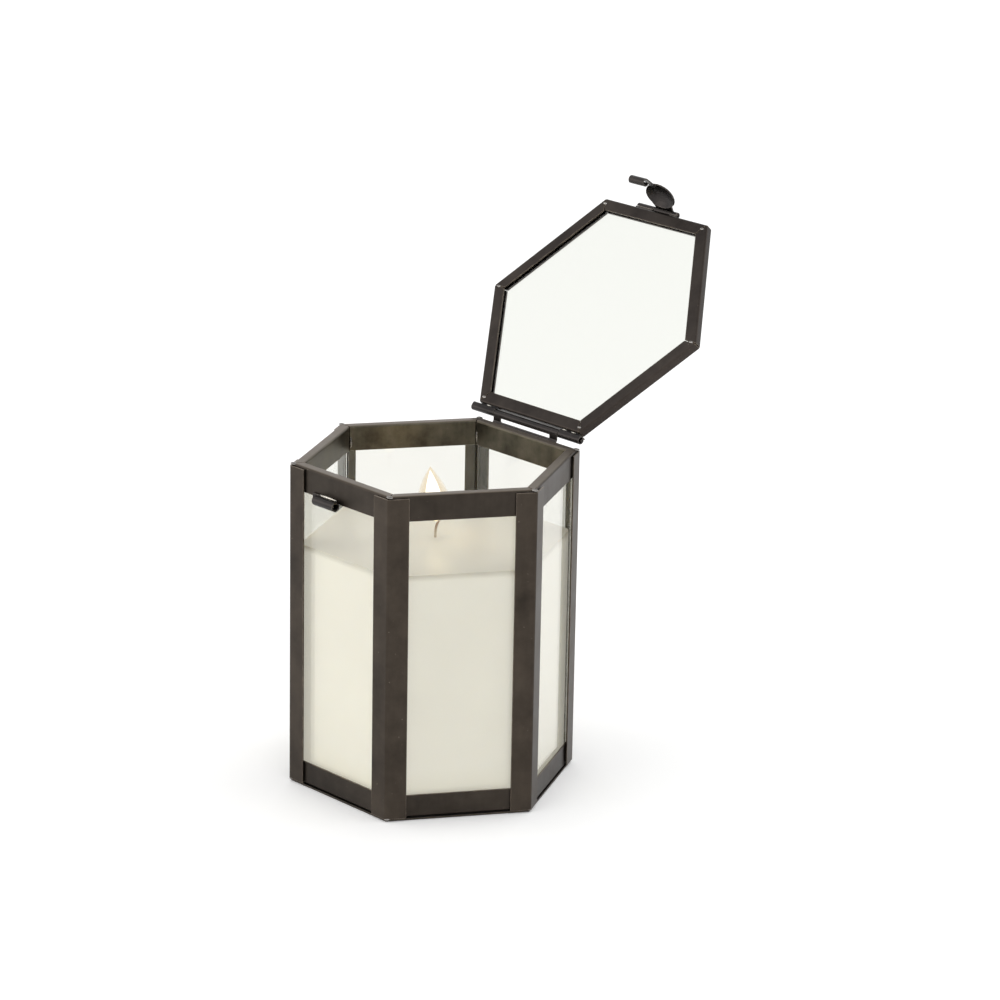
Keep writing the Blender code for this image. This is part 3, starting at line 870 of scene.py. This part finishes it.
# %% [markdown]
# ## The candle
# Hot wax was poured in up to three quarters of the height. It sets first against the cool glass,
# so its edge stands a little higher than its middle, and each burn leaves a shallow pool round
# the wick. The block starts as a six-sided cylinder; its top is drawn in ring by ring and lowered.

# %% Wax block
WAX_APOTHEM = -PANE_HIGH.y - 0.2 * MM
POOL_DROP = 0.3 * MM
RINGS = ((0.08, 0.0), (0.15, 0.03), (0.3, 0.06), (0.5, 0.06), (0.8, 0.05), (1.2, 0.04),
         (2.0, 0.03), (4.0, 0.02), (6.0, 0.01), (8.0, 0.0), (9.0, 0.0), (6.0, 0.0))


def wax_block():
    piece = six_sided("wax_block", WAX_APOTHEM / COS30, WAX_LOW.z + 0.5 * MM, WAX_HIGH.z)
    bpy.ops.object.mode_set(mode="EDIT")
    pick("EDGE", lambda part, middle: abs(part.verts[0].co.z - part.verts[1].co.z) > 10 * MM)
    bpy.ops.mesh.bevel(offset=1.6 * MM, segments=5, profile=0.5, affect="EDGES")
    pick("FACE", lambda part, middle: part.normal.z > 0.9)
    reach = WAX_APOTHEM
    for width, drop in RINGS:
        bpy.ops.mesh.extrude_region_move(TRANSFORM_OT_translate={"value": (0, 0, -drop * MM)})
        share = (reach - width * MM) / reach
        reach = reach - width * MM
        bpy.ops.transform.resize(value=(share, share, 1), center_override=(0, 0, 0))
    bpy.ops.object.mode_set(mode="OBJECT")
    smooth_piece(piece, 40)
    return piece


hand_over(wax_block(), WAX_LOOK, "lantern", "cream_wax", "candle_wax")
print(f"wax from {WAX_LOW.z / MM:.1f} to {WAX_HIGH.z / MM:.1f} mm")

# %% [markdown]
# ## Wick
# A braided wick stands up from its tin foot and curls over where it burns. It is pulled out ring
# by ring from a short cylinder, each ring turned a little and moved along the curl.

# %% Wick and its foot
WICK_RADIUS = 0.5 * MM
WICK_IN_WAX = 8 * MM
WICK_RINGS = 8


def wick_cord():
    deselect()
    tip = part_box("candle_wick")[1].z
    pool = WAX_HIGH.z - POOL_DROP
    bpy.ops.mesh.primitive_cylinder_add(vertices=12, radius=WICK_RADIUS, depth=WICK_IN_WAX,
                                        location=(0, 0, pool - WICK_IN_WAX / 2))
    piece = bpy.context.object
    piece.name = "wick_cord"
    bpy.ops.object.transform_apply(location=True, rotation=True, scale=True)
    bpy.ops.object.mode_set(mode="EDIT")
    pick("FACE", lambda part, middle: part.normal.z > 0.9)
    rise = (tip - pool) / WICK_RINGS
    spot = Vector((0, 0, pool))
    for i in range(WICK_RINGS):
        lean = 0.05 * i * i * rise
        move = Vector((lean * 0.32, 0, rise))
        bpy.ops.mesh.extrude_region_move(TRANSFORM_OT_translate={"value": move})
        spot = spot + move
        bpy.ops.transform.rotate(value=math.radians(14), orient_axis="Z", center_override=spot)
        size = 0.94 if i % 2 else 1.05
        bpy.ops.transform.resize(value=(size, size, 1), center_override=spot)
    bpy.ops.transform.resize(value=(0.6, 0.6, 1), center_override=spot)
    bpy.ops.object.mode_set(mode="OBJECT")
    smooth_piece(piece, 50)
    return piece


hand_over(wick_cord(), WICK_LOOK, "lantern", "cotton_wick", "candle_wick")
frame["nodes"]["wick_sustainer"].data.materials.clear()
frame["nodes"]["wick_sustainer"].data.materials.append(TIN_LOOK)
print("wick done")

# %% [markdown]
# ## Flame
# A candle flame is a drop drawn up to a point, widest just above the wick. A ball of rings gives
# it: every ring keeps its height and takes the radius of the drop there. The skin is the same
# shape, a little larger.

# %% Flame shells
FLAME_FOOT = WAX_HIGH.z + 6.2 * MM
FLAME_HEIGHT = 19.8 * MM
FLAME_RADIUS = 3.5 * MM
FLAME_LEAN = Vector((-1.5, -1.6, 0)) * MM
BELLY = 0.30


def flame_shape(name, grow, height):
    deselect()
    bpy.ops.mesh.primitive_uv_sphere_add(segments=28, ring_count=22, radius=1)
    piece = bpy.context.object
    piece.name = name
    bpy.ops.object.mode_set(mode="EDIT")
    shape = bmesh.from_edit_mesh(piece.data)
    for vert in shape.verts:
        share = (vert.co.z + 1) / 2
        ring = math.hypot(vert.co.x, vert.co.y)
        if share < BELLY:
            width = math.sqrt(max(0.0, 1 - ((share - BELLY) / BELLY) ** 2))
        else:
            width = 1 - ((share - BELLY) / (1 - BELLY)) ** 1.7
        radius = grow * FLAME_RADIUS * width
        spread = radius / ring if ring > 1e-6 else 0
        lean = FLAME_LEAN * share ** 1.4
        vert.co = (vert.co.x * spread + lean.x, vert.co.y * spread + lean.y,
                   FLAME_FOOT + share * height)
    bmesh.update_edit_mesh(piece.data)
    bpy.ops.object.mode_set(mode="OBJECT")
    smooth_piece(piece, 80)
    return piece


hand_over(flame_shape("flame_heart", 1.0, FLAME_HEIGHT), HEART_LOOK, "lantern", "cream_wax")
hand_over(flame_shape("flame_skin", 1.9, FLAME_HEIGHT + 1.5 * MM), SKIN_LOOK, "lantern", "cream_wax")


def candle_light():
    data = bpy.data.lights.new("candle_glow", "POINT")
    data.energy = 0.02
    data.color = (1.0, 0.72, 0.36)
    data.shadow_soft_size = 0.003
    glow = bpy.data.objects.new("candle_glow", data)
    bpy.context.scene.collection.objects.link(glow)
    glow.location = (0, 0, FLAME_FOOT + 12 * MM)


candle_light()
print("flame done")

# %% [markdown]
# ## Lid frame
# The lid is one hexagon of glass in a slim channel that opens inwards, mitred like the rails. It
# is made shut, copied round, and only then turned open.

# %% Lid rails
def lid_channel():
    low, high = LID_LOW.z, LID_HIGH.z
    half = SHEET / 2
    lip = LID_FACE - LID_LEG
    leg = LID_LEG - half - FOLD
    web = (high - low) - SHEET - 2 * FOLD
    steps = [("flat", leg), ("bend", 90, FOLD), ("flat", web), ("bend", 90, FOLD), ("flat", leg)]
    length = 2 * LID_FACE * TAN30 + SAW_WASTE
    piece = fold_strip("lid_model", (0, lip, high - half), (0, 1, 0), (1, 0, 0), length, steps)
    return finish_channel(piece)


for wall, piece in copies_round(lid_channel(), "lid_edge").items():
    place_piece(piece, OPEN_LID @ Matrix.Translation((LID_SHIFT, 0, 0)))
    hand_over(piece, LID_LOOK, "lid", "dark_patina", f"lid_rail_{wall}")
print("lid frame done")

# %% [markdown]
# ## Hinge
# Three knuckles rolled from strip turn on one pin. The middle one climbs the back rail on a strap
# and curls over the pin; the outer two are soldered to the lid's edge and curl up from below.
# Each is the same move: flats for the strap, one long bend for the knuckle.

# %% Hinge knuckles and pin
HINGE_ROLL = 1.25 * MM
WINDOW_LEFT = 3.9 * MM
WINDOW_RIGHT = 4.0 * MM


def body_knuckle():
    low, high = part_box("hinge_body_knuckle")
    face = RAIL_FACE + SOLDER_ROOM + STRIP / 2
    inset = (HINGE.y - HINGE_ROLL) - face
    jog = 0.8 * MM
    turn = 36
    reach = math.radians(turn)
    slope = (inset - 2 * jog * (1 - math.cos(reach))) / math.sin(reach)
    climb = slope * math.cos(reach) + 2 * jog * math.sin(reach)
    strap = HINGE.z - low.z - climb - 2.2 * MM
    steps = [("flat", strap), ("bend", turn, jog), ("flat", slope), ("bend", -turn, jog),
             ("flat", 2.2 * MM), ("bend", 282, HINGE_ROLL)]
    piece = fold_strip("knuckle_middle", ((low.x + high.x) / 2, face, low.z), (0, 0, 1),
                       (1, 0, 0), high.x - low.x, steps)
    thicken_sheet(piece, STRIP, 0)
    front = HINGE.y - HINGE_ROLL
    cut_window(piece, (low.x + WINDOW_LEFT, front - 0.7 * MM, RIM - 0.2 * MM),
               (high.x - WINDOW_RIGHT, front + 0.7 * MM, RIM + 1.4 * MM))
    soften_edges(piece, 0.1 * MM)
    smooth_piece(piece)
    return piece


def cut_window(piece, low, high):
    """Pierce a sheet with a rounded punch."""
    deselect()
    low, high = Vector(low), Vector(high)
    bpy.ops.mesh.primitive_cube_add(size=1, location=(low + high) / 2, scale=high - low)
    punch = bpy.context.object
    bpy.ops.object.transform_apply(location=True, rotation=True, scale=True)
    bpy.ops.object.mode_set(mode="EDIT")
    pick("EDGE", lambda part, middle: abs(part.verts[0].co.y - part.verts[1].co.y) > 1 * MM)
    bpy.ops.mesh.bevel(offset=0.5 * MM, segments=4, affect="EDGES")
    bpy.ops.object.mode_set(mode="OBJECT")
    apply_modifier(piece, "BOOLEAN", object=punch, operation="DIFFERENCE", solver="EXACT")
    bpy.data.objects.remove(punch)


def lid_knuckle(name, node):
    low, high = shut_box(node)
    face = LID_FACE + SOLDER_ROOM + STRIP / 2
    jog = 0.5 * MM
    strap = high.z - (HINGE.z - HINGE_ROLL) - jog
    run = HINGE.y - face - jog
    steps = [("flat", strap), ("bend", -90, jog), ("flat", run), ("bend", -262, HINGE_ROLL)]
    piece = fold_strip(name, ((low.x + high.x) / 2, face, high.z), (0, 0, -1), (1, 0, 0),
                       high.x - low.x, steps)
    thicken_sheet(piece, STRIP)
    place_piece(piece, OPEN_LID)
    return piece


def turned_pin(name, node, radius):
    """A wire pin with its cut ends rounded by the file."""
    deselect()
    low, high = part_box(node)
    bpy.ops.mesh.primitive_cylinder_add(vertices=24, radius=radius, depth=high.x - low.x,
                                        location=(low + high) / 2, rotation=(0, math.radians(90), 0))
    piece = bpy.context.object
    piece.name = name
    bpy.ops.object.transform_apply(location=True, rotation=True, scale=True)
    bpy.ops.object.mode_set(mode="EDIT")
    pick("FACE", lambda part, middle: abs(part.normal.x) > 0.9)
    bpy.ops.mesh.bevel(offset=EDGE_BREAK, segments=3, profile=0.5, affect="EDGES")
    bpy.ops.object.mode_set(mode="OBJECT")
    smooth_piece(piece, 40)
    return piece


hand_over(body_knuckle(), LATCH_LOOK, "lantern", "dark_patina", "hinge_body_knuckle")
for hand in ("left", "right"):
    hand_over(lid_knuckle(f"knuckle_{hand}", f"hinge_lid_knuckle_{hand}"), LATCH_LOOK, "lid",
              "dark_patina", f"hinge_lid_knuckle_{hand}")
hand_over(turned_pin("hinge_wire", "hinge_pin", 0.7 * MM), LATCH_LOOK,
          "lantern", "dark_patina", "hinge_pin")
print("hinge done")

# %% [markdown]
# ## Catch
# The catch is a short tube rolled from strip, soldered along the lower edge of the front rim rail,
# with a flat tab at its left. The roll is one long bend; the tab is a small folded strip of its
# own, and the solder between them, a near-white bead along the top of the tube that is a painted
# highlight, is added with the rest of the solder.

# %% Catch tube
CATCH_RADIUS = 1.85 * MM
CATCH_LENGTH = 11.5 * MM
TAB_WIDTH = 4.8 * MM
ROLLED_EDGE = 0.08 * MM


def rolled_tube(name, axis, span, outer, start, turn):
    """A tube along X rolled from strip: axis is (y, z), start is where its first edge lies."""
    radius = outer - STRIP / 2
    at = math.radians(start)
    spot = ((span[0] + span[1]) / 2, axis[0] + radius * math.cos(at), axis[1] + radius * math.sin(at))
    heading = (0, -math.sin(at), math.cos(at))
    steps = [("flat", 0.05 * MM), ("bend", turn, radius)]
    piece = fold_strip(name, spot, heading, (-1, 0, 0), span[1] - span[0], steps)
    return thicken_sheet(piece, STRIP, ROLLED_EDGE)


def join_pieces(first, second):
    select_only(first)
    second.select_set(True)
    bpy.ops.object.join()
    return first


# %% Catch
def catch():
    low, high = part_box("catch_tube")
    axis = (-RAIL_FACE - SOLDER_ROOM - CATCH_RADIUS, high.z - CATCH_RADIUS)
    tube = rolled_tube("catch", axis, (high.x - CATCH_LENGTH, high.x), CATCH_RADIUS, 60, 330)
    foot = (low.x + TAB_WIDTH / 2, -RAIL_FACE - SOLDER_ROOM - STRIP / 2, axis[1] - CATCH_RADIUS)
    tab = fold_strip("catch_tab", foot, (0, 0, 1), (1, 0, 0), TAB_WIDTH, [("flat", 2 * CATCH_RADIUS)])
    return join_pieces(tube, thicken_sheet(tab, STRIP, ROLLED_EDGE))


hand_over(catch(), LATCH_LOOK, "lantern", "dark_patina", "catch_tube")
print("catch done")

# %% [markdown]
# ## Solder
# Every corner was tacked with solder, which stands proud as a small bright bead that the patina
# only half covered. A bead is a ball of rings, flattened and pushed about a little. Each joint's
# bead is made afresh with its own seed, so that no two are alike. Sizes are in millimetres.

# %% Solder beads
def solder_bead(name, place, size, seed):
    deselect()
    bpy.ops.mesh.primitive_uv_sphere_add(segments=14, ring_count=9, radius=1, location=(0, 0, 0))
    bead = bpy.context.object
    bead.name = name
    bpy.ops.object.mode_set(mode="EDIT")
    bpy.ops.mesh.select_all(action="SELECT")
    bpy.ops.transform.resize(value=[side * MM for side in size])
    bpy.ops.transform.vertex_random(offset=0.12 * min(size) * MM, seed=seed)
    bpy.ops.object.mode_set(mode="OBJECT")
    apply_modifier(bead, "SUBSURF", levels=1, render_levels=1)
    place_piece(bead, Matrix.Translation(place))
    smooth_piece(bead, 80)
    return bead


def on_wall(angle, out, along, height):
    """A place on a wall: how far out, how far along it to the left, and how high."""
    turn = Matrix.Rotation(math.radians(angle), 3, "Z")
    return turn @ Vector((out, along, height))


SEEDS = random.Random(7)
beads = []
for corner, angle in CORNERS.items():
    joints = {
        "rim": (on_wall(angle, POST_TIP - 1.5 * MM, 0, RIM - 0.25 * MM), (1.5, 1.1, 0.45)),
        "foot": (on_wall(angle, POST_TIP - 1.3 * MM, 0.3 * MM, BASE_HIGH.z + 0.3 * MM),
                 (1.3, 1.3, 0.6)),
        "seam": (on_wall(angle - 30, RAIL_BACK + 0.02 * MM, RAIL_BACK * TAN30 - 0.5 * MM,
                         RIM - 6.5 * MM), (0.5, 0.5, 2.2)),
    }
    for joint, (spot, size) in joints.items():
        bead = solder_bead(f"solder_{joint}_{corner}", spot, size, SEEDS.randint(1, 999))
        beads.append(hand_over(bead, SOLDER_LOOK, "lantern", "dark_patina"))
# A near-white bead along the top of the catch tube: a painted highlight for the bright line the tube's
# top catches.
low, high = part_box("catch_tube")
spot = ((low.x + high.x) / 2 + 1.0 * MM, -RAIL_FACE - 0.5 * MM, high.z - 0.1 * MM)
catch_highlight = solder_bead("catch_highlight_bead", spot, (5.2, 0.5, 0.45), 31)
beads.append(hand_over(catch_highlight, SOLDER_HIGHLIGHT_LOOK, "lantern", "dark_patina"))

# %% Solder on the lid
low, high = shut_box("lid_rail_back")
# These beads take the near-white look: painted highlights for the bright specks between the hinge and the
# rims.
for i, share in enumerate((-0.82, 0.70, 0.88)):
    spot = (low.x + (high.x - low.x) * (share + 1) / 2, high.y + 0.2 * MM, low.z + 1.2 * MM)
    bead = solder_bead(f"solder_hinge_highlight_{i}", spot, (1.4, 0.35, 0.6), 50 + i)
    place_piece(bead, OPEN_LID)
    beads.append(hand_over(bead, SOLDER_HIGHLIGHT_LOOK, "lid", "dark_patina"))
for corner, angle in CORNERS.items():
    spot = on_wall(angle, LID_FACE / COS30 - 2.6 * MM, 0, LID_LOW.z - 0.02 * MM)
    spot = spot + Vector((LID_SHIFT, 0, 0))
    bead = solder_bead(f"solder_lid_{corner}", spot, (1.0, 0.45, 0.15), SEEDS.randint(1, 999))
    place_piece(bead, OPEN_LID)
    beads.append(hand_over(bead, SOLDER_LOOK, "lid", "dark_patina"))
print("solder beads:", len(beads))

# %% [markdown]
# ## Hasp
# The hasp, its pin and its two knuckles are carried over as they are in the frame. They only need
# the finish of the catch and the hinge.

# %% Finish the carried-over hasp
for name in ("hasp_plate", "hasp_roll", "hasp_pin", "hasp_knuckle_left", "hasp_knuckle_right"):
    node = frame["nodes"][name]
    node.data.materials.clear()
    node.data.materials.append(LATCH_LOOK)
print("hasp finished")
